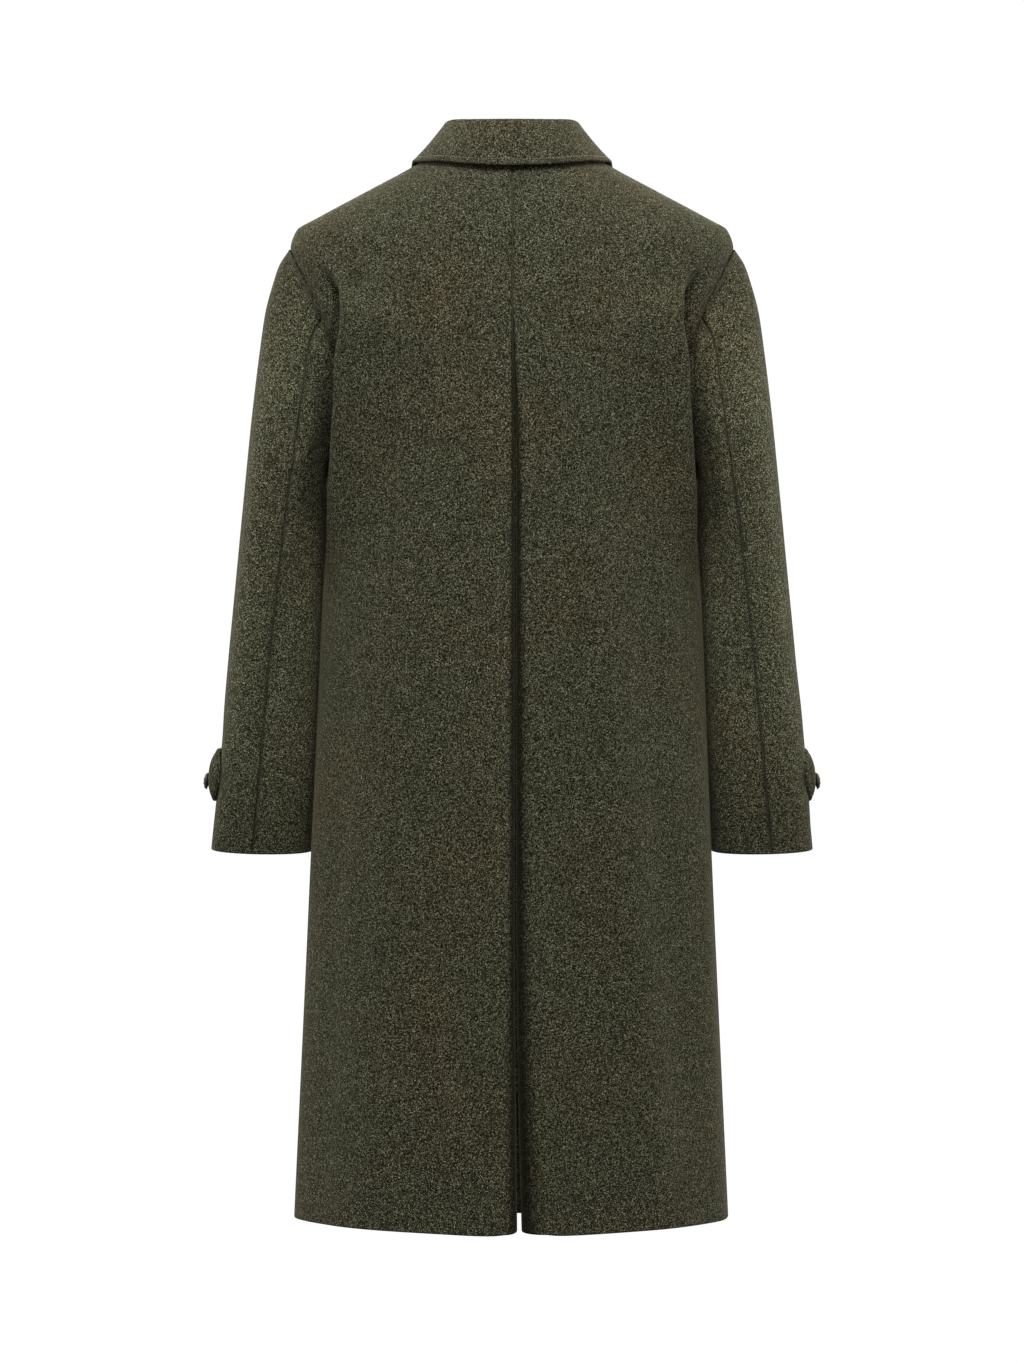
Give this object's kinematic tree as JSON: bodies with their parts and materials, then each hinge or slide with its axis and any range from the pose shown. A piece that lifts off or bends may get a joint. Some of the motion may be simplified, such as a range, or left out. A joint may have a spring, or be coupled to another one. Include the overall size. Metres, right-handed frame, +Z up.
{
  "type": "long coat",
  "caption": "Long flared wool coat with turn-down collar, inverted centre back pleat, set-in sleeves and buttoned cuff tabs, hollow as worn.",
  "frame": {"origin": "at the nape, level with the centre back neck seam, over the middle of the hollow, where the wearer's neck and shoulders hold the coat", "axes": "+Z up, -Y the way the front faces, +X towards the wearer's left"},
  "size_m": [0.6528, 0.3069, 1.145],
  "materials": {
    "wool": "napped melange wool, olive green",
    "leather": "woven leather, dark brown"
  },
  "bodies": {
    "root": {"back_left": "wool", "back_right": "wool", "pleat_underlay": "wool", "front_left": "wool", "front_right": "wool", "top_sleeve_left": "wool", "top_sleeve_right": "wool", "under_sleeve_left": "wool", "under_sleeve_right": "wool", "collar_fall": "wool", "collar_stand": "wool", "cuff_tab_left": "wool", "cuff_tab_right": "wool", "cuff_button_left": "leather", "cuff_button_right": "leather", "front_button_1": "leather", "front_button_2": "leather", "front_button_3": "leather", "front_button_4": "leather", "front_button_5": "leather"}
  },
  "joints": []
}
